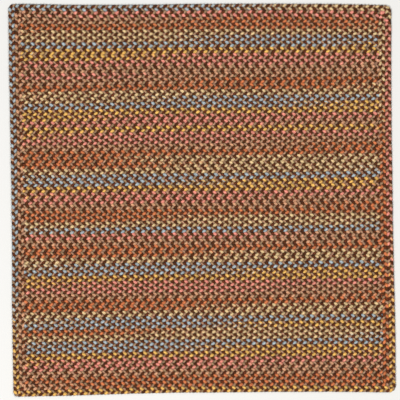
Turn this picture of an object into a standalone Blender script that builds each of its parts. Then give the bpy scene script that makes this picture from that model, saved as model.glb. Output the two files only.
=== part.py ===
"""A nearly square braided rug, lying flat with its underside at Z = 0.

Its field is 61 straight rows of one flat three-strand braid, sewn side by side into a ribbed mat.
Its border is a single length of the same braid, sewn round the field in two rounds. The rounds are
a spiral: the braid starts on the outer lane at the far right corner, runs anticlockwise, steps in
to the inner lane on the right-hand side and ends there, with both ends tapered where they tuck in.

X runs along the rows, Y across them, and Z up. The origin is under the middle of the rug.
"""

import bmesh
import bpy
import numpy as np

# Driving sizes, in metres.
RUG_WIDTH = 0.914  # along the rows
RUG_LENGTH = 0.929  # across the rows
THICKNESS = 0.0095
FIELD_ROWS = 61
LANE_WIDTHS = (0.0156, 0.0150)  # of the border's outer and inner round
SEWN_GAP = 0.0003  # between the field and the border, and between the border's rounds

# The shape of one row's cross-section.
TOP_SEAM_HEIGHT = 0.0068  # of the groove between two rows, on the upper side
SHOULDER_HEIGHT = 0.0090
BOTTOM_SEAM_HEIGHT = 0.0022  # of the same groove, on the underside
SHOULDER_SHARE = 0.19  # of a row's width, from its seam to its shoulder
FOOT_SHARE = 0.25  # of a row's width, from its seam to the strip that rests on the floor

# How far each edge lies outside the true rectangle, in millimetres, at six even steps along it:
# the left and right edges from the far end to the near one, the others from left to right.
EDGE_SWAY_MM = {
    "left": (5.8, 2.8, -0.8, -3.2, -4.0, -6.9),
    "right": (-4.6, -5.4, -3.4, -0.8, 3.5, 5.8),
    "far": (4.4, 1.6, 2.8, 4.5, 4.1, 1.1),
    "near": (5.2, 0.6, -4.6, -6.2, -7.4, -5.6),
}

# How far the rows lie towards the near edge from where even spacing would put them, in
# millimetres. Each line goes from left to right in even steps. The lines are at even steps from
# the far edge to the near one, and at both of those edges the drift is nothing.
ROW_DRIFT_MM = (
    (7.0, 3.0, 3.0, -1.5),
    (5.0, 3.5, 3.5, -3.0),
    (2.0, 2.5, 3.5, -3.5),
    (1.5, 2.5, 3.0, -2.0),
)

# The border's corners, in the order that the braid passes them: far right, far left, near left,
# near right. A squareness of 2 is a quarter circle, and a high one is nearly a square corner.
OUTLINE_SQUARENESS = (2.0, 2.6, 2.6, 1.9)
INNER_ROUND_SQUARENESS = 8.0
TURN_RADIUS = 0.0005  # of the braid's inner edge at a corner

# Where the braid steps from the outer lane to the inner one, in metres down the right side.
STEP_IN_START = 0.0455
STEP_IN_END = 0.0313
TIP_SHARE = 0.15  # of a lane: how wide the braid's tapered ends are

# How finely the solids are divided.
FIELD_STEPS = 8
SIDE_STEPS = 8
CORNER_STEPS = 6
STEP_IN_STEPS = 6

LANE_EDGES = (0, LANE_WIDTHS[0], sum(LANE_WIDTHS))
HALF_WIDTH = RUG_WIDTH / 2
HALF_LENGTH = RUG_LENGTH / 2
HALF_GAP = SEWN_GAP / 2
MM = 0.001

# The border's four sides in the braid's own order: the way it runs, the way outwards, how far out
# the edge is, and half the side's length.
SIDES = (
    ((-1, 0), (0, 1), HALF_LENGTH, HALF_WIDTH),  # far
    ((0, -1), (-1, 0), HALF_WIDTH, HALF_LENGTH),  # left
    ((1, 0), (0, -1), HALF_LENGTH, HALF_WIDTH),  # near
    ((0, 1), (1, 0), HALF_WIDTH, HALF_LENGTH),  # right
)
RIGHT = 3

COLOURS = {
    # name: (base colour, roughness)
    "field_rows": ((0.26, 0.13, 0.075, 1), 0.9),
    "border_braid": ((0.23, 0.14, 0.10, 1), 0.9),
}


def clear_scene():
    for obj in list(bpy.data.objects):
        bpy.data.objects.remove(obj)


def easing(share, count):
    """How much each of `count` evenly spaced values counts at a share of the way from the first to
    the last: cubic pieces with matching slopes."""
    values = np.eye(count)
    slopes = np.gradient(values, axis=0)
    place = np.clip(np.asarray(share, float), 0, 1) * (count - 1)
    i = np.minimum(place.astype(int), count - 2)
    t = (place - i)[..., None]
    return (
        (2 * t**3 - 3 * t**2 + 1) * values[i]
        + (t**3 - 2 * t**2 + t) * slopes[i]
        + (3 * t**2 - 2 * t**3) * values[i + 1]
        + (t**3 - t**2) * slopes[i + 1]
    )


def eased(share, values):
    """A smooth curve through evenly spaced values."""
    return easing(share, len(values)) @ values


def swayed(x, y):
    """Where a point of the true rectangle lies on the uneven rug: each edge's sway fades evenly to
    the opposite edge, and the rows drift between them."""
    across = (np.asarray(x, float) + HALF_WIDTH) / RUG_WIDTH
    down = (HALF_LENGTH - np.asarray(y, float)) / RUG_LENGTH
    left = eased(down, EDGE_SWAY_MM["left"])
    right = eased(down, EDGE_SWAY_MM["right"])
    far = eased(across, EDGE_SWAY_MM["far"])
    near = eased(across, EDGE_SWAY_MM["near"])
    inner_lines = easing(down, len(ROW_DRIFT_MM) + 2)[..., 1:-1] @ ROW_DRIFT_MM
    drift = (inner_lines * easing(across, len(ROW_DRIFT_MM[0]))).sum(-1)
    return (
        x + MM * (across * right - (1 - across) * left),
        y + MM * ((1 - down) * far - down * near - drift),
    )


def side_crossing(side, along, outer_inset, inner_inset):
    """The border's outer and inner edge on one side, `along` metres past the side's middle."""
    run, out, reach, _ = SIDES[side]
    on_side = np.multiply(run, along)
    return [np.multiply(out, reach - inset) + on_side for inset in (outer_inset, inner_inset)]


def corner_crossing(side, turn, outer_inset, inner_inset, squareness):
    """The border's outer and inner edge at a share `turn` of the corner that leads into a side.

    Both are rays from one centre. The inner edge is an arc of TURN_RADIUS, and the outer edge is a
    superellipse of the braid's width plus that radius."""
    _, out_before, reach_before, _ = SIDES[side - 1]
    _, out_after, reach_after, _ = SIDES[side]
    centre_inset = inner_inset + TURN_RADIUS
    centre = np.multiply(out_before, reach_before - centre_inset)
    centre = centre + np.multiply(out_after, reach_after - centre_inset)
    cos, sin = np.cos(turn * np.pi / 2), np.sin(turn * np.pi / 2)
    ray = np.multiply(out_before, cos) + np.multiply(out_after, sin)
    size = centre_inset - outer_inset
    reach = size / (abs(cos) ** squareness + abs(sin) ** squareness) ** (1 / squareness)
    return [centre + ray * reach, centre + ray * TURN_RADIUS]


def step_in(place):
    """How far the braid has stepped in, from 0 to 1, at `place` metres down the right side."""
    t = np.clip((STEP_IN_START - place) / (STEP_IN_START - STEP_IN_END), 0, 1)
    return t * t * (3 - 2 * t)


def step_in_places(low, high):
    """Even places down the right side where the braid has stepped in by a share from low to high."""
    fine = np.linspace(STEP_IN_START, STEP_IN_END, 400)
    kept = fine[(step_in(fine) >= low) & (step_in(fine) <= high)]
    return np.linspace(kept[0], kept[-1], STEP_IN_STEPS + 1)


def right_crossing(place, outer_inset, inner_inset):
    """The border's two edges on the right side, `place` metres down it."""
    return side_crossing(RIGHT, HALF_LENGTH - place, outer_inset, inner_inset)


def lane_edges(lane):
    """How far inside the rug's edge a lane's outer and inner edges lie."""
    outer = LANE_EDGES[lane] + HALF_GAP * (lane > 0)
    return np.array((outer, LANE_EDGES[lane + 1] - HALF_GAP))


def border_crossings():
    """Pairs of outer and inner edge points along the whole spiral, in the order of the braid."""
    crossings = []
    # The tapered start, on the outer lane, beside the stretch that steps in.
    for place in step_in_places(TIP_SHARE, 1):
        crossings.append(right_crossing(place, 0, step_in(place) * LANE_WIDTHS[0] - HALF_GAP))
    for lane in range(len(LANE_WIDTHS)):
        here = lane_edges(lane)
        outer, inner = here
        for side in range(len(SIDES)):
            square = INNER_ROUND_SQUARENESS if lane else OUTLINE_SQUARENESS[side]
            for turn in np.linspace(0, 1, CORNER_STEPS + 1):
                crossings.append(corner_crossing(side, turn, outer, inner, square))
            start = end = SIDES[side][3] - inner - TURN_RADIUS
            if side == RIGHT:
                end = HALF_LENGTH - STEP_IN_START
            for along in np.linspace(-start, end, SIDE_STEPS + 1)[1:]:
                crossings.append(side_crossing(side, along, outer, inner))
        # The right side's last stretch: the step in to the next lane, or the tapered end beside it.
        last = lane == len(LANE_WIDTHS) - 1
        beyond = np.array((inner + SEWN_GAP, inner)) if last else lane_edges(lane + 1)
        for place in step_in_places(0, 1 - TIP_SHARE if last else 1)[1:]:
            crossings.append(right_crossing(place, *(here + step_in(place) * (beyond - here))))
    return crossings


def row_profile():
    """One row's cross-section from its first seam to its last, as (share of the width, height):
    its upper side, and its underside."""
    above = (
        (0, TOP_SEAM_HEIGHT),
        (SHOULDER_SHARE, SHOULDER_HEIGHT),
        (0.5, THICKNESS),
        (1 - SHOULDER_SHARE, SHOULDER_HEIGHT),
        (1, TOP_SEAM_HEIGHT),
    )
    below = (
        (0, BOTTOM_SEAM_HEIGHT),
        (FOOT_SHARE, 0),
        (1 - FOOT_SHARE, 0),
        (1, BOTTOM_SEAM_HEIGHT),
    )
    return above, below


def joined_rings(rings, size):
    """Quads that join each closed ring of `size` points to the next one."""
    return [
        (s * size + i, s * size + (i + 1) % size, (s + 1) * size + (i + 1) % size, (s + 1) * size + i)
        for s in range(rings - 1)
        for i in range(size)
    ]


def make_object(name, points, faces):
    """An object from points and faces, with its normals turned outwards and its own material."""
    mesh = bpy.data.meshes.new(name)
    work = bmesh.new()
    corners = [work.verts.new(point) for point in points]
    for face in faces:
        work.faces.new([corners[i] for i in face])
    bmesh.ops.recalc_face_normals(work, faces=work.faces)
    work.to_mesh(mesh)
    work.free()
    obj = bpy.data.objects.new(name, mesh)
    bpy.context.scene.collection.objects.link(obj)
    colour, roughness = COLOURS[name]
    material = bpy.data.materials.new(name)
    material.use_nodes = True
    shader = material.node_tree.nodes["Principled BSDF"]
    shader.inputs["Base Color"].default_value = colour
    shader.inputs["Roughness"].default_value = roughness
    shader.inputs["Metallic"].default_value = 0
    material.diffuse_color = colour
    mesh.materials.append(material)
    return obj


def make_field():
    """The field: 61 ribs drawn out along X, each one a row of braid."""
    above, below = row_profile()
    inset = LANE_EDGES[-1] + SEWN_GAP
    half_x, half_y = HALF_WIDTH - inset, HALF_LENGTH - inset
    row = 2 * half_y / FIELD_ROWS
    # Neighbouring rows share their seam points, so each row adds all but its profile's last point.
    upper = [((k + share) * row, z) for k in range(FIELD_ROWS) for share, z in above[:-1]]
    lower = [((k + share) * row, z) for k in range(FIELD_ROWS) for share, z in below[:-1]]
    upper.append((2 * half_y, TOP_SEAM_HEIGHT))
    lower.append((2 * half_y, BOTTOM_SEAM_HEIGHT))
    ring = upper + lower[::-1]
    size, last_lower = len(ring), len(ring) - 1
    points = []
    for x in np.linspace(-half_x, half_x, FIELD_STEPS + 1):
        for down, z in ring:
            px, py = swayed(x, half_y - down)
            points.append((px, py, z))
    faces = joined_rings(FIELD_STEPS + 1, size)
    # Each end is closed by one face for each row, so that no face has a bent outline.
    over, under = len(above) - 1, len(below) - 1
    for end in (0, FIELD_STEPS * size):
        for k in range(FIELD_ROWS):
            top = [end + k * over + i for i in range(over + 1)]
            bottom = [end + last_lower - k * under - i for i in range(under + 1)]
            faces.append(tuple(top + bottom[::-1]))
    return make_object("field_rows", points, faces)


def make_border():
    """The border: one row's cross-section carried along the two-round spiral, with flat ends."""
    above, below = row_profile()
    ring = above + below[::-1]
    size = len(ring)
    crossings = border_crossings()
    points = []
    for outer, inner in crossings:
        for share, z in ring:
            x, y = outer + (inner - outer) * share
            px, py = swayed(x, y)
            points.append((px, py, z))
    faces = joined_rings(len(crossings), size)
    faces.append(tuple(range(size)))
    faces.append(tuple(range(len(points) - size, len(points))))
    return make_object("border_braid", points, faces)


def centre_on_origin(objects):
    """Places the objects so that the middle of the whole rug's box stands over the origin."""
    corners = np.array([vertex.co for obj in objects for vertex in obj.data.vertices])
    middle = (corners.min(0) + corners.max(0)) / 2
    for obj in objects:
        obj.location = (-middle[0], -middle[1], 0)


def main():
    clear_scene()
    centre_on_origin([make_field(), make_border()])


main()
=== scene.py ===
"""The looks of a braided rug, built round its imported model.

Every strand of the braid is a mesh tube that follows the over-and-under path of a flat
three-strand braid. The field's rows run from left to right, and the border is one length of braid
that spirals round them twice. One strand is dark brown, one is taupe and one is space-dyed.
"""

import math

import bpy
import numpy as np
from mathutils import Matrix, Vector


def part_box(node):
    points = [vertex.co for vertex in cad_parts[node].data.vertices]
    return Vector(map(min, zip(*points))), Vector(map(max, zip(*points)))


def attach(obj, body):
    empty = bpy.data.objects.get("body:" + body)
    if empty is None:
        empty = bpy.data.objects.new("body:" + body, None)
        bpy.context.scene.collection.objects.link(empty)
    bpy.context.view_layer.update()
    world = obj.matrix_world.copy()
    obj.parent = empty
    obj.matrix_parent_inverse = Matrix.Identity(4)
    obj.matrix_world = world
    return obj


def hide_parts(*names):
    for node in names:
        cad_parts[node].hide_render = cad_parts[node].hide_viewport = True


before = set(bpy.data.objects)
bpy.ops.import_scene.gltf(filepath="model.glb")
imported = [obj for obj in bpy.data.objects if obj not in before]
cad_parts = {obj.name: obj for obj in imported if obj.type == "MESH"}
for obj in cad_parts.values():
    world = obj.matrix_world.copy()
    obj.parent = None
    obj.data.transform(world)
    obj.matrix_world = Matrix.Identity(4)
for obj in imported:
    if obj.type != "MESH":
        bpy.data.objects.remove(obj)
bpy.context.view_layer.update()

# The rug's sizes, in metres, as its solids have them.
RUG_WIDTH = 0.914
RUG_LENGTH = 0.929
FIELD_ROWS = 61
LANE_WIDTHS = (0.0156, 0.0150)  # of the border's outer and inner round
SEWN_GAP = 0.0003  # left at the border's seams
LANE_EDGES = (0, LANE_WIDTHS[0], sum(LANE_WIDTHS))
HALF_WIDTH = RUG_WIDTH / 2
HALF_LENGTH = RUG_LENGTH / 2
HALF_GAP = SEWN_GAP / 2
HALF_ROW_LENGTH = HALF_WIDTH - LANE_EDGES[-1] - SEWN_GAP
HALF_FIELD = HALF_LENGTH - LANE_EDGES[-1] - SEWN_GAP
ROW = 2 * HALF_FIELD / FIELD_ROWS
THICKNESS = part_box("field_rows")[1].z
MM = 0.001  # a millimetre

# How far each edge lies outside the true rectangle, in millimetres, at six even steps along it:
# the left and right edges from the far end to the near one, the others from left to right.
EDGE_SWAY_MM = {
    "left": (5.8, 2.8, -0.8, -3.2, -4.0, -6.9),
    "right": (-4.6, -5.4, -3.4, -0.8, 3.5, 5.8),
    "far": (4.4, 1.6, 2.8, 4.5, 4.1, 1.1),
    "near": (5.2, 0.6, -4.6, -6.2, -7.4, -5.6),
}

# How far the rows lie towards the near edge from where even spacing would put them, in
# millimetres. Each line goes from left to right in even steps. The lines are at even steps from
# the far edge to the near one, and at both of those edges the drift is nothing.
ROW_DRIFT_MM = (
    (7.0, 3.0, 3.0, -1.5),
    (5.0, 3.5, 3.5, -3.0),
    (2.0, 2.5, 3.5, -3.5),
    (1.5, 2.5, 3.0, -2.0),
)

# The rug's sides, in the order that the border's braid runs along them.
SIDES = (
    # The way it runs, the way outwards, how far out the edge is, and half the side's length.
    ((-1, 0), (0, 1), HALF_LENGTH, HALF_WIDTH),  # far
    ((0, -1), (-1, 0), HALF_WIDTH, HALF_LENGTH),  # left
    ((1, 0), (0, -1), HALF_LENGTH, HALF_WIDTH),  # near
    ((0, 1), (1, 0), HALF_WIDTH, HALF_LENGTH),  # right
)
RIGHT = 3  # the right side's index

# How square the border's outer edge is where it turns into each side: the exponent of a
# superellipse, of which 2 is round. The inner round's corners are alike.
OUTLINE_SQUARENESS = (2.0, 2.6, 2.6, 1.9)
INNER_ROUND_SQUARENESS = 8.0
TURN_RADIUS = 0.0005  # of the braid's inner edge, in metres
CORNER_STEPS = 16
EASED_AT = 0.2  # how far across the braid, from its outer edge, its length is measured

# Where the braid starts to step in from the outer round and where it has stepped in, in metres
# down the right side. Its ends taper beside the step, and leave out a share of it at their tips.
STEP_IN_START = 0.0455
STEP_IN_END = 0.0313
STEP_IN_STEPS = 24
TIP_SHARE = 0.15

# The braid. Its strands follow one path, each a third of a period behind the one before.
PERIOD = 0.02437  # along the braid, in which a strand crosses over and comes back
ROW_OVERLAP = 0.0030  # how far a row's outermost lobes press into the next row's
ROW_TUCK = 0.0025  # how far a row's ends reach into the border
STEPS_A_PERIOD = 12
SAMPLE_TURN = math.radians(15)  # so that a step falls near each lobe's crown

# Half a strand's width and height where it turns back at the braid's edge, where it lies on top or
# below, and where it dives between the two.
EDGE_SECTION = (0.0038, 0.0031)
CROWN_SECTION = (0.0034, 0.0026)
CENTRE_SECTION = (0.0042, 0.0017)
EDGE_LINGER = 0.09  # how much of the third harmonic keeps the strand at the edge
LATE_CROWN = 0.2  # how much of the height's second harmonic brings the crown near the middle

# How uneven the braid is.
PHASE_STRAY = 0.25  # how far a strand runs ahead of its even path or behind it, in radians
PHASE_WAVE = 0.21  # metres of braid, over which it strays
PLUMPNESS = 0.09  # how much plumper or thinner than usual a stretch may be, over either wave
PLUMP_WAVES = (0.043, 0.3)  # metres of braid
WAVE_SHARES = (1, 0.61, 0.37)  # how long a wandering's three sines are, as shares of its wave
TALLEST = 1.02  # the most that a plump stretch grows in height, as a factor
WIDEST = 2.2  # the most that a strand widens where the border turns a corner, as a factor
BORDER_PHASE_SEED = 400
BORDER_PLUMP_SEED = 97

STRANDS = {
    # name: (share of a period that it lies behind the dyed strand, how wide it is for its section,
    # sides of its tube)
    "dyed": (0, 1.0, 6),
    "taupe": (1 / 3, 0.78, 5),
    "brown": (2 / 3, 1.19, 5),
}

# How far each field row's lobes lie to the left of those of the row before it, as a share of a
# period, in bands of like rows: (the band's first row, counted from the far one, and that share).
ROW_STEPS = (
    (1, 0.15),
    (2, 0.0),
    (5, -0.4),
    (7, 0.05),
    (8, 0.4),
    (10, -0.05),
    (11, -0.4),
    (12, -0.2),
    (14, 0.1),
    (17, -0.33),
    (20, 0.05),
    (22, -0.3),
    (25, 0.25),
    (29, -0.35),
    (31, 0.4),
    (33, 0.05),
    (36, 0.4),
    (39, -0.37),
    (42, 0.1),
    (44, 0.03),
    (47, -0.33),
    (51, 0.06),
    (58, -0.3),
)

# How far ahead of an even braid's the border's lobes lie, in periods, at even steps along it.
BORDER_LEAD = (-0.30, -0.15, -0.12, 0.03, -0.22, -0.55, -0.29, 0.33, 0.36, 0.78)

# The space-dyed strand's runs of colour, in the order that the braid was made.
DYE_RUNS = (
    # name, length in metres, linear colour
    ("olive", 1.32, (0.70, 0.50, 0.255)),
    ("blue", 1.26, (0.38, 0.445, 0.475)),
    ("gold", 1.26, (0.80, 0.46, 0.115)),
    ("rose", 1.35, (0.79, 0.275, 0.205)),
    ("tan", 1.04, (0.61, 0.315, 0.175)),
    ("terracotta", 1.33, (0.63, 0.185, 0.068)),
)
DYE_CYCLE = sum(length for _, length, _ in DYE_RUNS)
DYE_JOIN = 0.12  # metres, over which one run fades into the next
RAGGEDNESS = 0.12  # metres, over which noise shifts the joins
STAGGER = 0.14  # metres, over which the joins of a strand's yarns are spread

# Where a new length of braid starts in the field: its first row, counted from the far one, the
# run that it starts in, how much of that run is left, in rows, and the length's dye pace. That is
# how many metres of the dye cycle go into a metre of it.
FIELD_LENGTHS = (
    (0, "tan", 0.49, 1.02),
    (9, "rose", 0.35, 1.05),
    (18, "gold", 1.09, 1.02),
    (24, "terracotta", 0.43, 0.98),
    (36, "rose", 0.70, 0.98),
    (52, "terracotta", 0.36, 0.96),
)
# The run that the border starts in, how far into it, in metres, and the border's dye pace.
BORDER_START = ("olive", 0.98, 0.945)


def easing(share, count):
    """How much each of `count` evenly spaced values counts at a share of the way from the first to
    the last: cubic pieces with matching slopes."""
    values = np.eye(count)
    slopes = np.gradient(values, axis=0)
    place = np.clip(share, 0, 1) * (count - 1)
    i = np.minimum(place.astype(int), count - 2)
    t = (place - i)[..., None]
    return (
        (2 * t**3 - 3 * t**2 + 1) * values[i]
        + (t**3 - 2 * t**2 + t) * slopes[i]
        + (3 * t**2 - 2 * t**3) * values[i + 1]
        + (t**3 - t**2) * slopes[i + 1]
    )


def eased(share, values):
    """A smooth curve through evenly spaced values."""
    return easing(share, len(values)) @ values


def swayed(x, y):
    """Where points of the true rectangle lie on the uneven rug: each edge's sway fades evenly to
    the opposite edge, and the rows drift between them."""
    across = (x + HALF_WIDTH) / RUG_WIDTH
    down = (HALF_LENGTH - y) / RUG_LENGTH
    left, right = eased(down, EDGE_SWAY_MM["left"]), eased(down, EDGE_SWAY_MM["right"])
    far, near = eased(across, EDGE_SWAY_MM["far"]), eased(across, EDGE_SWAY_MM["near"])
    inner_lines = easing(down, len(ROW_DRIFT_MM) + 2)[..., 1:-1] @ ROW_DRIFT_MM
    drift = (inner_lines * easing(across, len(ROW_DRIFT_MM[0]))).sum(-1)
    return (
        x + MM * (across * right - (1 - across) * left),
        y + MM * ((1 - down) * far - down * near - drift),
    )


def side_crossing(side, along, outer_inset, inner_inset):
    """The border's outer and inner edge on one side, `along` metres past the side's middle."""
    run, out, reach, _ = SIDES[side]
    on_side = np.multiply(run, along)
    return [np.multiply(out, reach - inset) + on_side for inset in (outer_inset, inner_inset)]


def corner_crossing(side, turn, outer_inset, inner_inset, squareness):
    """The border's outer and inner edge at a share `turn` of the corner that leads into a side: the
    inner edge is a small arc, and the outer one a superellipse round the same centre."""
    _, out_before, reach_before, _ = SIDES[side - 1]
    _, out_after, reach_after, _ = SIDES[side]
    centre_inset = inner_inset + TURN_RADIUS
    centre = np.multiply(out_before, reach_before - centre_inset)
    centre = centre + np.multiply(out_after, reach_after - centre_inset)
    cos, sin = math.cos(turn * math.pi / 2), math.sin(turn * math.pi / 2)
    ray = np.multiply(out_before, cos) + np.multiply(out_after, sin)
    size = centre_inset - outer_inset
    reach = size / (abs(cos) ** squareness + abs(sin) ** squareness) ** (1 / squareness)
    return [centre + ray * reach, centre + ray * TURN_RADIUS]


def step_in(place):
    """How far the braid has stepped in, from 0 to 1, at `place` metres down the right side."""
    t = np.clip((STEP_IN_START - place) / (STEP_IN_START - STEP_IN_END), 0, 1)
    return t * t * (3 - 2 * t)


def step_in_places(low, high):
    """Even places down the right side where the braid has stepped in by low to high, as shares."""
    fine = np.linspace(STEP_IN_START, STEP_IN_END, 400)
    kept = fine[(step_in(fine) >= low) & (step_in(fine) <= high)]
    return np.linspace(kept[0], kept[-1], STEP_IN_STEPS + 1)


def right_crossing(place, outer_inset, inner_inset):
    """The border's two edges on the right side, `place` metres down it."""
    return side_crossing(RIGHT, HALF_LENGTH - place, outer_inset, inner_inset)


def lane_edges(lane):
    """How far inside the rug's edge a lane's outer and inner edges lie. Lobes reach over both by
    half the overlap, so the outermost edge lies that much inside the rug's own."""
    outer = LANE_EDGES[lane] + (HALF_GAP if lane else ROW_OVERLAP / 2)
    return np.array((outer, LANE_EDGES[lane + 1] - HALF_GAP))


def border_path():
    """The border's outer and inner edge along the whole spiral, and how far along the braid each
    pair of points lies. That is measured nearer the outer edge, as the braid is eased round its
    corners."""
    crossings = []
    for place in step_in_places(TIP_SHARE, 1):
        inner = step_in(place) * LANE_WIDTHS[0] - HALF_GAP
        crossings.append(right_crossing(place, lane_edges(0)[0], inner))
    for lane in range(len(LANE_WIDTHS)):
        here = lane_edges(lane)
        outer, inner = here
        for side in range(len(SIDES)):
            square = INNER_ROUND_SQUARENESS if lane else OUTLINE_SQUARENESS[side]
            for turn in np.linspace(0, 1, CORNER_STEPS + 1):
                crossings.append(corner_crossing(side, turn, outer, inner, square))
            start = SIDES[side][3] - inner - TURN_RADIUS
            end = HALF_LENGTH - STEP_IN_START if side == RIGHT else start
            crossings.append(side_crossing(side, end, outer, inner))
        last = lane == len(LANE_WIDTHS) - 1
        beyond = np.array((inner + SEWN_GAP, inner)) if last else lane_edges(lane + 1)
        for place in step_in_places(0, 1 - TIP_SHARE if last else 1)[1:]:
            crossings.append(right_crossing(place, *(here + step_in(place) * (beyond - here))))
    outer, inner = np.array(crossings).transpose(1, 0, 2)
    measured = outer + (inner - outer) * EASED_AT
    steps = np.linalg.norm(np.diff(measured, axis=0), axis=1)
    return outer, inner, np.concatenate([[0], np.cumsum(steps)])


def rug_shift():
    """How far the swayed rug moves so that the middle of its box stands over the origin."""
    x, y = swayed(*border_path()[0].T)
    return -(x.min() + x.max()) / 2, -(y.min() + y.max()) / 2


SHIFT_X, SHIFT_Y = rug_shift()


def wandering(place, amount, wave, seed):
    """A smooth wandering about zero along each row: the mean of three sines of unlike length, whose
    phases are drawn for each row. `place` has a row for each row of braid."""
    count = len(WAVE_SHARES)
    phases = np.random.default_rng(seed).uniform(0, 2 * np.pi, (count, len(place), 1))
    waves = [share * wave for share in WAVE_SHARES]
    sines = [np.sin(2 * np.pi * place / w + phase) for w, phase in zip(waves, phases)]
    return amount * sum(sines) / count


def varying(turn, at_edge, at_crown, at_centre):
    """A smooth value along a strand's path, from what it is where the strand turns back at the
    braid's edge, where it lies on top or below, and at the middle. It is the sum of a mean and of
    cosines of twice and four times the phase."""
    ends = (at_edge + at_centre) / 2
    mean, fourth = (at_crown + ends) / 2, (ends - at_crown) / 2
    return mean + (at_centre - at_edge) / 2 * np.cos(2 * turn) + fourth * np.cos(4 * turn)


def braid_shape(turn, wide):
    """A strand's place across and above the middle of the braid at a phase of its path, and half
    its width and height there.

    Across, it is a sine with a little of its third harmonic, so the strand lingers at the edge.
    Its height is a sine of twice the phase, so it lies on top while it moves inwards and below
    while it moves outwards. A little of the height's own second harmonic moves the crown towards
    the middle. The soft strand is tallest where it turns back, narrowest on top, and wide and flat
    where it dives under the next one."""
    sections = zip(EDGE_SECTION, CROWN_SECTION, CENTRE_SECTION)
    half_width, half_height = (varying(turn, *sizes) for sizes in sections)
    reach = (ROW + ROW_OVERLAP) / 2 - EDGE_SECTION[0] * wide
    rise = THICKNESS / 2 - CROWN_SECTION[1]
    across = reach * (np.sin(turn) + EDGE_LINGER * np.sin(3 * turn)) / (1 - EDGE_LINGER)
    above = -rise * (np.sin(2 * turn) + LATE_CROWN * np.sin(4 * turn)) / (1 + LATE_CROWN / 3)
    return across, above, half_width * wide, half_height * min(wide, 1)


def rings(centre, half_width, half_height, sides):
    """Rings of points round a tube's centre line: each is an ellipse that stands square to the
    line, with its width kept level. One with an even number of sides lies with a flat on top."""
    along = np.gradient(centre, axis=1)
    along /= np.linalg.norm(along, axis=2, keepdims=True)
    level = np.cross((0, 0, 1), along)
    level /= np.linalg.norm(level, axis=2, keepdims=True)
    up = np.cross(along, level)
    even = sides % 2 == 0
    angle = 2 * np.pi * (np.arange(sides) + even / 2) / sides + np.pi / 2
    tall = half_height / math.cos(math.pi / sides) if even else half_height
    across = half_width[:, :, None, None] * np.cos(angle)[:, None] * level[:, :, None]
    above = tall[:, :, None, None] * np.sin(angle)[:, None] * up[:, :, None]
    return centre[:, :, None] + across + above


# What the baked map leaves free at each end of a line, as a share of the square, and along both
# edges of one, as a share of its height.
END_MARGIN = 0.01
LINE_MARGIN = 0.06


def tube_mesh(name, points, lengths, lines_a_row, dye=None):
    """One mesh of closed tubes from rings of points, an array of rows x stations x sides x 3.

    The map "strand" holds metres along the tube and turns round it. The map "OFBake" lays the tubes
    out side by side in one square, each cut into lines_a_row lines. The small faces that close the
    ends come last and lie at nought in both."""
    rows, stations, sides, _ = points.shape
    ring = np.arange(rows * stations).reshape(rows, stations, 1) * sides
    here = ring + np.arange(sides)
    after = ring + (np.arange(sides) + 1) % sides
    quads = np.stack([here[:, :-1], here[:, 1:], after[:, 1:], after[:, :-1]], -1)
    caps = []
    for end, order in ((0, 1), (stations - 1, -1)):
        corners = [np.array((0, k, k + 1, min(k + 2, sides - 1))) for k in range(1, sides - 1, 2)]
        corners = [c if c[2] != c[3] else c[:3] for c in corners]
        caps += [here[row, end, c][::order].tolist() for row in range(rows) for c in corners]
    mesh = bpy.data.meshes.new(name)
    faces = quads.reshape(-1, 4).tolist() + caps
    mesh.from_pydata(points.reshape(-1, 3), [], faces)
    mesh.polygons.foreach_set("use_smooth", np.ones(len(faces), bool))

    # Where each corner of each quad lies: its row, its station and how many sides round.
    shape = (rows, stations - 1, sides, 4)
    row = np.broadcast_to(np.arange(rows)[:, None, None, None], shape)
    first = np.broadcast_to(np.arange(stations - 1)[None, :, None, None], shape)
    station = first + np.array((0, 1, 1, 0))
    side = np.arange(sides)[None, None, :, None] + np.array((0, 0, 1, 1))
    turns = np.broadcast_to(side / sides, shape)
    strand = np.stack([lengths[row, station], turns], -1).reshape(-1, 2)
    a_line = math.ceil((stations - 1) / lines_a_row)
    line = first // a_line
    places = END_MARGIN + (1 - 2 * END_MARGIN) * (station - line * a_line) / a_line
    in_line = LINE_MARGIN + (1 - 2 * LINE_MARGIN) * turns
    heights = (row * lines_a_row + line + in_line) / (rows * lines_a_row)
    baked = np.stack([places, heights], -1).reshape(-1, 2)
    spare = np.zeros((len(mesh.loops) - len(strand), 2))
    for map_name, found in (("strand", strand), ("OFBake", baked)):
        layer = mesh.uv_layers.new(name=map_name, do_init=False)
        layer.uv.foreach_set("vector", np.concatenate([found, spare]).astype(np.float32).ravel())
    if dye is not None:
        layer = mesh.attributes.new("dye", "FLOAT", "POINT")
        layer.data.foreach_set("value", np.repeat(dye.ravel(), sides).astype(np.float32))
    mesh.validate()
    obj = bpy.data.objects.new(name, mesh)
    bpy.context.scene.collection.objects.link(obj)
    return obj


def run_start(name):
    """How far into the dye cycle a run starts, in metres."""
    names = [run for run, _, _ in DYE_RUNS]
    return sum(length for _, length, _ in DYE_RUNS[: names.index(name)])


def run_length(name):
    """A run's length, in metres."""
    return dict((run, length) for run, length, _ in DYE_RUNS)[name]


def field_dye(row_length):
    """Each field row's place in the dye cycle at its left end, in metres, and its dye pace."""
    starts, paces = np.zeros(FIELD_ROWS), np.zeros(FIELD_ROWS)
    for first, run, rows_left, pace in FIELD_LENGTHS:
        rows = np.arange(FIELD_ROWS - first)
        starts[first:] = run_start(run) + run_length(run) + row_length * (rows * pace - rows_left)
        paces[first:] = pace
    return starts, paces


def row_shifts():
    """How far left each field row's lobes lie, in periods: the bands' steps added up."""
    rows = np.arange(FIELD_ROWS)
    firsts, steps = zip(*ROW_STEPS)
    band = np.searchsorted(firsts, rows, side="right") - 1
    return np.cumsum(np.where(band < 0, 0, np.take(steps, np.maximum(band, 0))))


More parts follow.
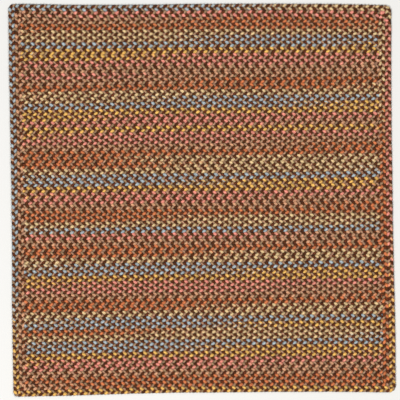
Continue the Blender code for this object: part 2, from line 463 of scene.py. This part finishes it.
def stations(length, lag):
    """Even steps along a braid, in metres, locked to a strand's phase so that its lobes are cut
    nearly alike. `lag` is how far the strand lies behind, in periods."""
    step = PERIOD / STEPS_A_PERIOD
    locked = (np.asarray(lag) + SAMPLE_TURN / (2 * np.pi)) * STEPS_A_PERIOD % 1
    return (np.arange(int(length / step)) + locked) * step


def field_rows(strand, first, last):
    """One strand of the field's rows from first to last: its centre line, half its width and
    height, and how far along the row and into the dye cycle each station lies."""
    rows = np.arange(first, last)[:, None]
    lag, wide, _ = STRANDS[strand]
    lag = lag - row_shifts()[first:last, None]
    length = 2 * (HALF_ROW_LENGTH + ROW_TUCK)
    along = stations(length, lag)
    stray = wandering(along, PHASE_STRAY, PHASE_WAVE, first + 1)
    turn = 2 * np.pi * (along / PERIOD - lag) + stray
    across, above, half_width, half_height = braid_shape(turn, wide)
    x = along - length / 2
    x, y = swayed(x, HALF_FIELD - (rows + 0.5) * ROW + across)
    centre = np.stack([x + SHIFT_X, y + SHIFT_Y, THICKNESS / 2 + above], -1)
    starts, paces = field_dye(length)
    dye = starts[first:last, None] + along * paces[first:last, None]
    return centre, half_width, half_height, along, dye


def border_rows(strand):
    """One strand of the border, as field_rows gives one of the field. The braid is as wide as its
    lane: it spreads in the corners, where its strands widen with the square of that to fill them,
    and narrows to the tapered ends."""
    outer, inner, distance = border_path()
    lag, wide, _ = STRANDS[strand]
    along = stations(distance[-1], lag)[None]
    lead = eased(along / distance[-1], BORDER_LEAD)
    stray = wandering(along, PHASE_STRAY, PHASE_WAVE, BORDER_PHASE_SEED)
    turn = 2 * np.pi * (along / PERIOD - lag - lead) + stray
    across, above, half_width, half_height = braid_shape(turn, wide)
    edges = [
        np.stack([np.interp(along[0], distance, edge[:, k]) for k in range(2)], -1)
        for edge in (outer, inner)
    ]
    scale = np.linalg.norm(edges[1] - edges[0], axis=1)[None] / ROW
    wider, lower = np.clip(scale**2, scale, WIDEST), np.minimum(scale, 1)
    place = edges[0] + (edges[1] - edges[0]) * (0.5 + across[0] / ROW)[:, None]
    x, y = swayed(place[None, :, 0], place[None, :, 1])
    centre = np.stack([x + SHIFT_X, y + SHIFT_Y, THICKNESS / 2 + above * lower], -1)
    run, into_it, pace = BORDER_START
    dye = run_start(run) + into_it + along * pace
    return centre, half_width * wider, half_height * lower, along, dye


def strand_piece(name, strand, found, lines_a_row, seed):
    """A mesh piece for one strand: a tube along its centre line, plumper in one place than in
    another."""
    centre, half_width, half_height, along, dye = found
    _, _, sides = STRANDS[strand]
    short_wave, long_wave = PLUMP_WAVES
    plump = 1 + wandering(along, PLUMPNESS, short_wave, seed + sides)
    plump += wandering(along, PLUMPNESS, long_wave, seed)
    points = rings(centre, half_width * plump, half_height * np.minimum(plump, TALLEST), sides)
    steps = np.linalg.norm(np.diff(centre, axis=1), axis=2)
    lengths = np.concatenate([np.zeros((len(centre), 1)), np.cumsum(steps, axis=1)], axis=1)
    return tube_mesh(name, points, lengths, lines_a_row, dye if strand == "dyed" else None)


# ---------------------------------------------------------------- materials


def node(tree, kind, inputs=None, **settings):
    """A shader node with its settings. Each input is a value, or a socket to link to it."""
    made = tree.nodes.new(kind)
    for key, value in settings.items():
        setattr(made, key, value)
    for key, value in (inputs or {}).items():
        if isinstance(value, bpy.types.NodeSocket):
            tree.links.new(value, made.inputs[key])
        else:
            made.inputs[key].default_value = value
    return made


def maths(tree, operation, *values):
    """A Math node's result. Each value is a number, or a socket to link to it."""
    inputs = dict(enumerate(values))
    return node(tree, "ShaderNodeMath", inputs, operation=operation).outputs[0]


def new_group(name, inputs, outputs):
    """An empty shader node group with named inputs, as (name, kind, value), and float outputs."""
    tree = bpy.data.node_groups.new(name, "ShaderNodeTree")
    for socket, kind, value in inputs:
        made = tree.interface.new_socket(socket, in_out="INPUT", socket_type=f"NodeSocket{kind}")
        if value is not None:
            made.default_value = value
    for socket in outputs:
        tree.interface.new_socket(socket, in_out="OUTPUT", socket_type="NodeSocketFloat")
    return tree, node(tree, "NodeGroupInput").outputs, node(tree, "NodeGroupOutput").inputs


FIBRE_RADIUS = 0.003  # of the cylinder that the fibres' noise is laid on, in metres
FIBRE_DRAW = 0.22  # how much a metre along the strand counts there, so that fibres come out long


def twisted_yarn_group():
    """Yarns laid round a strand with a slow twist.

    The strand's map gives metres along and turns round. Turns times the number of yarns, plus
    metres over the lay, counts yarns: the whole part picks a yarn and the fraction goes across it.
    Fibres are noise on a cylinder that turns with the yarns and is drawn out lengthwise. Nap is
    fine noise in the rug's own space, and tone is coarse noise there. Depth is 0 in the groove
    between two yarns and 1 on top."""
    tree, given, wanted = new_group(
        "twisted yarn",
        (
            ("Strand Map", "Vector", None),
            ("Yarns", "Float", 7),
            ("Lay", "Float", 0.009),
            ("Fibre Size", "Float", 0.0007),
            ("Nap Size", "Float", 0.0004),
            ("Tone Size", "Float", 0.008),
        ),
        ("Yarn", "Depth", "Fibre", "Nap", "Tone"),
    )
    at = node(tree, "ShaderNodeSeparateXYZ", {0: given["Strand Map"]}).outputs
    twist = maths(tree, "DIVIDE", at[0], given["Lay"])
    count = maths(tree, "MULTIPLY_ADD", at[1], given["Yarns"], twist)
    whole = maths(tree, "FLOOR", maths(tree, "FLOORED_MODULO", count, given["Yarns"]))
    yarn = node(tree, "ShaderNodeTexWhiteNoise", {"W": whole}, noise_dimensions="1D").outputs[0]
    depth = maths(tree, "SINE", maths(tree, "MULTIPLY", maths(tree, "FRACT", count), math.pi))
    angle = maths(tree, "MULTIPLY", maths(tree, "DIVIDE", count, given["Yarns"]), 2 * math.pi)
    round_strand = (
        maths(tree, "MULTIPLY", maths(tree, kind, angle), FIBRE_RADIUS)
        for kind in ("COSINE", "SINE")
    )
    drawn = maths(tree, "MULTIPLY", at[0], FIBRE_DRAW)
    space = node(tree, "ShaderNodeCombineXYZ", dict(enumerate((drawn, *round_strand))))
    fibre_settings = {
        "Vector": space.outputs[0],
        "Scale": maths(tree, "DIVIDE", 1, given["Fibre Size"]),
        "Detail": 3,
        "Roughness": 0.6,
    }
    fibre = node(tree, "ShaderNodeTexNoise", fibre_settings).outputs[0]
    place = node(tree, "ShaderNodeTexCoord").outputs["Object"]
    nap, tone = (
        node(
            tree,
            "ShaderNodeTexNoise",
            {"Vector": place, "Scale": maths(tree, "DIVIDE", 1, given[size]), "Detail": detail},
        ).outputs[0]
        for size, detail in (("Nap Size", 2), ("Tone Size", 0))
    )
    for found, socket in zip((yarn, depth, fibre, nap, tone), wanted):
        tree.links.new(found, socket)
    return tree


TWISTED_YARN = twisted_yarn_group()


def dye_colour(tree, yarn):
    """The space-dyed strand's colour: the dye cycle as a ramp with soft joins, read at the
    attribute "dye". Each yarn was dyed a little out of step, and noise makes its joins ragged."""
    dye = node(tree, "ShaderNodeAttribute", attribute_name="dye").outputs["Fac"]
    place = node(tree, "ShaderNodeTexCoord").outputs["Object"]
    blotch = node(tree, "ShaderNodeTexNoise", {"Vector": place, "Scale": 90, "Detail": 1})
    behind = maths(tree, "SUBTRACT", dye, (RAGGEDNESS + STAGGER) / 2)
    ragged = maths(tree, "MULTIPLY_ADD", blotch.outputs[0], RAGGEDNESS, behind)
    staggered = maths(tree, "MULTIPLY_ADD", yarn, STAGGER, ragged)
    share = maths(tree, "FRACT", maths(tree, "DIVIDE", staggered, DYE_CYCLE))
    ramp = node(tree, "ShaderNodeValToRGB", {0: share})
    stops = ramp.color_ramp.elements
    start = 0.0
    for _, length, colour in DYE_RUNS:
        for stop in (start + DYE_JOIN / 2, start + length - DYE_JOIN / 2):
            stops.new(stop / DYE_CYCLE).color = (*colour, 1)
        start += length
    middle = [(a + b) / 2 for a, b in zip(DYE_RUNS[0][2], DYE_RUNS[-1][2])]
    stops[0].color = stops[len(stops) - 1].color = (*middle, 1)
    return ramp.outputs[0]


def tint_colour(tree, yarn, tints):
    """A yarn's colour: one of the tints, each of which takes an even share of the yarns."""
    ramp = node(tree, "ShaderNodeValToRGB", {0: yarn})
    ramp.color_ramp.interpolation = "CONSTANT"
    stops = ramp.color_ramp.elements
    stops.remove(stops[1])
    stops[0].color = (*tints[0], 1)
    for index, colour in enumerate(tints[1:], 1):
        stops.new(index / len(tints)).color = (*colour, 1)
    return ramp.outputs[0]


# How light the yarn is from place to place, as factors of its own colour: at random over its
# fibres, nap and tone, and with painted shade and light over its yarns and towards the rug's middle
# level. The spreads are from the darkest place to the lightest.
FIBRE_SPREAD = 1.3
NAP_SPREAD = 0.8
TONE_SPREAD = 0.9
PAINTED_GROOVE_LIGHT = 0.58  # painted shade: how light the groove between two yarns is made
PAINTED_YARN_TOP_LIGHT = 0.65  # painted light: how much lighter the top of a yarn is made than that
DEEP_SHADE = 190  # painted shade: how much darker the yarn is made, as a share a metre, towards the rug's middle level, where the deep of the braid lies in shade
SHADE_LEVEL = 0.0034  # metres off the middle level, where it has its own colour


def spread_about_one(tree, value, spread):
    """A factor that rises evenly with a value from 0 to 1, and is 1 where the value is a half."""
    return maths(tree, "MULTIPLY_ADD", value, spread, 1 - spread / 2)


def yarn_material(name, tints=None, contrast=1.0):
    """A soft yarn, coloured by its tints, or by the dye where it has none. Its fibres and nap are
    lighter and darker by the contrast. The grooves between its yarns carry painted shade and their
    tops painted light, and the yarn carries painted shade towards the rug's middle level."""
    material = bpy.data.materials.new(name)
    material.use_nodes = True
    tree = material.node_tree
    shader = tree.nodes["Principled BSDF"]
    group = node(tree, "ShaderNodeGroup", node_tree=TWISTED_YARN)
    strand_map = node(tree, "ShaderNodeUVMap", uv_map="strand").outputs[0]
    tree.links.new(strand_map, group.inputs["Strand Map"])
    yarn, depth, fibre, nap, tone = group.outputs
    colour = tint_colour(tree, yarn, tints) if tints else dye_colour(tree, yarn)
    by_fibre = spread_about_one(tree, fibre, FIBRE_SPREAD * contrast)
    by_nap = spread_about_one(tree, nap, NAP_SPREAD * contrast)
    by_tone = spread_about_one(tree, tone, TONE_SPREAD)
    # Painted shade: darker in the grooves between yarns and lighter on their tops, as light falls
    # there.
    painted_groove_shade = maths(tree, "MULTIPLY_ADD", depth, PAINTED_YARN_TOP_LIGHT, PAINTED_GROOVE_LIGHT)
    # Painted shade: darker towards the rug's middle level, deep in the braid where little light
    # reaches.
    place = node(tree, "ShaderNodeTexCoord").outputs["Object"]
    level = node(tree, "ShaderNodeSeparateXYZ", {0: place}).outputs[2]
    off_middle = maths(tree, "ABSOLUTE", maths(tree, "SUBTRACT", level, THICKNESS / 2))
    painted_level_shade = maths(tree, "MULTIPLY_ADD", off_middle, DEEP_SHADE, 1 - DEEP_SHADE * SHADE_LEVEL)
    light = maths(tree, "MULTIPLY", maths(tree, "MULTIPLY", by_fibre, by_nap), painted_groove_shade)
    light = maths(tree, "MULTIPLY", light, maths(tree, "MULTIPLY", painted_level_shade, by_tone))
    lit = node(tree, "ShaderNodeVectorMath", {0: colour, "Scale": light}, operation="SCALE")
    height = maths(tree, "ADD", maths(tree, "MULTIPLY_ADD", fibre, 0.5, depth), nap)
    bump = node(tree, "ShaderNodeBump", {"Height": height, "Strength": 0.7, "Distance": 0.0005})
    tree.links.new(lit.outputs[0], shader.inputs["Base Color"])
    tree.links.new(maths(tree, "MULTIPLY_ADD", fibre, 0.2, 0.8), shader.inputs["Roughness"])
    tree.links.new(bump.outputs[0], shader.inputs["Normal"])
    shader.inputs["Sheen Weight"].default_value = 0.08
    shader.inputs["Sheen Roughness"].default_value = 0.5
    shader.inputs["Specular IOR Level"].default_value = 0.1
    return material


BROWN_TINTS = ((0.109, 0.036, 0.009), (0.142, 0.034, 0.013), (0.093, 0.026, 0.007))
TAUPE_TINTS = ((0.42, 0.285, 0.142), (0.58, 0.305, 0.195), (0.37, 0.213, 0.120))

YARNS = {
    "dyed": yarn_material("space-dyed yarn", contrast=0.8),
    "taupe": yarn_material("taupe yarn", TAUPE_TINTS),
    "brown": yarn_material("brown yarn", BROWN_TINTS),
}

# ---------------------------------------------------------------- pieces

BANDS = {
    # name: (first row, row after the last), counted from the far one
    "far": (0, 15),
    "upper": (15, 30),
    "lower": (30, 46),
    "near": (46, FIELD_ROWS),
}
# How many lines of the baked map each tube is cut into.
FIELD_LINES = 2
BORDER_LINES = 24


def finish_piece(piece, strand, node_name):
    """Gives a strand its yarn, hangs it on the rug's root body, and hides the solid that it
    replaces.
    """
    piece.data.materials.append(YARNS[strand])
    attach(piece, "root")
    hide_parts(node_name)


def make_field():
    """The field's strands, in four bands of rows."""
    for band, (first, last) in BANDS.items():
        for strand in STRANDS:
            found = field_rows(strand, first, last)
            piece = strand_piece(f"field_{band}_{strand}", strand, found, FIELD_LINES, first)
            finish_piece(piece, strand, "field_rows")


def make_border():
    """The border's three strands."""
    for strand in STRANDS:
        found = border_rows(strand)
        piece = strand_piece(f"border_{strand}", strand, found, BORDER_LINES, BORDER_PLUMP_SEED)
        finish_piece(piece, strand, "border_braid")
    flat = (float(border_path()[2][-1]), sum(LANE_WIDTHS) / 2)


# ---------------------------------------------------------------- room, light and camera


FLOOR_COLOUR = (0.87, 0.86, 0.832, 1)


def make_floor():
    """A plain pale floor, just under the rug."""
    half, level = 4.0, -0.0002
    around = ((-half, -half), (half, -half), (half, half), (-half, half))
    corners = [(x, y, level) for x, y in around]
    mesh = bpy.data.meshes.new("floor")
    mesh.from_pydata(corners, [], [(0, 1, 2, 3)])
    floor = bpy.data.objects.new("floor", mesh)
    bpy.context.scene.collection.objects.link(floor)
    material = bpy.data.materials.new("floor")
    material.use_nodes = True
    shader = material.node_tree.nodes["Principled BSDF"]
    shader.inputs["Base Color"].default_value = FLOOR_COLOUR
    shader.inputs["Roughness"].default_value = 0.9
    mesh.materials.append(material)


def make_light(name, place, size, power):
    """A square area light that faces the rug's middle."""
    data = bpy.data.lights.new(name, "AREA")
    data.size, data.energy = size, power
    light = bpy.data.objects.new(name, data)
    bpy.context.scene.collection.objects.link(light)
    light.location = place
    turn = light.location.to_track_quat("Z", "Y")
    light.rotation_euler = turn.to_euler()


def make_studio():
    """A soft room, and two wide lights on opposite sides, so that the floor is lit evenly."""
    world = bpy.data.worlds.new("studio")
    world.use_nodes = True
    background = world.node_tree.nodes["Background"]
    background.inputs["Color"].default_value = (1, 1, 1, 1)
    background.inputs["Strength"].default_value = 0.20
    bpy.context.scene.world = world
    make_light("key", (-2.0, -2.2, 5.0), 1.8, 228)
    make_light("fill", (2.4, 1.8, 5.0), 1.8, 120)


PIXEL = 0.002385  # how much of the rug a pixel of the frame covers, in metres
FRAME_PIXELS = 400
RUG_MIDDLE = (202.0, 200.4)  # of the rug's box, in the frame's pixels from its top left corner


def make_camera():
    """Straight above, far enough off that the rug's sides don't show."""
    data = bpy.data.cameras.new("camera")
    data.lens, data.sensor_width = 85, 36
    data.clip_end = 20
    camera = bpy.data.objects.new("camera", data)
    bpy.context.scene.collection.objects.link(camera)
    x = (FRAME_PIXELS / 2 - RUG_MIDDLE[0]) * PIXEL
    y = (RUG_MIDDLE[1] - FRAME_PIXELS / 2) * PIXEL
    height = data.lens / data.sensor_width * FRAME_PIXELS * PIXEL
    camera.location = (x, y, THICKNESS / 2 + height)
    bpy.context.scene.camera = camera


make_camera()
make_field()
make_border()
make_floor()
make_studio()
bpy.context.scene.view_settings.view_transform = "Standard"
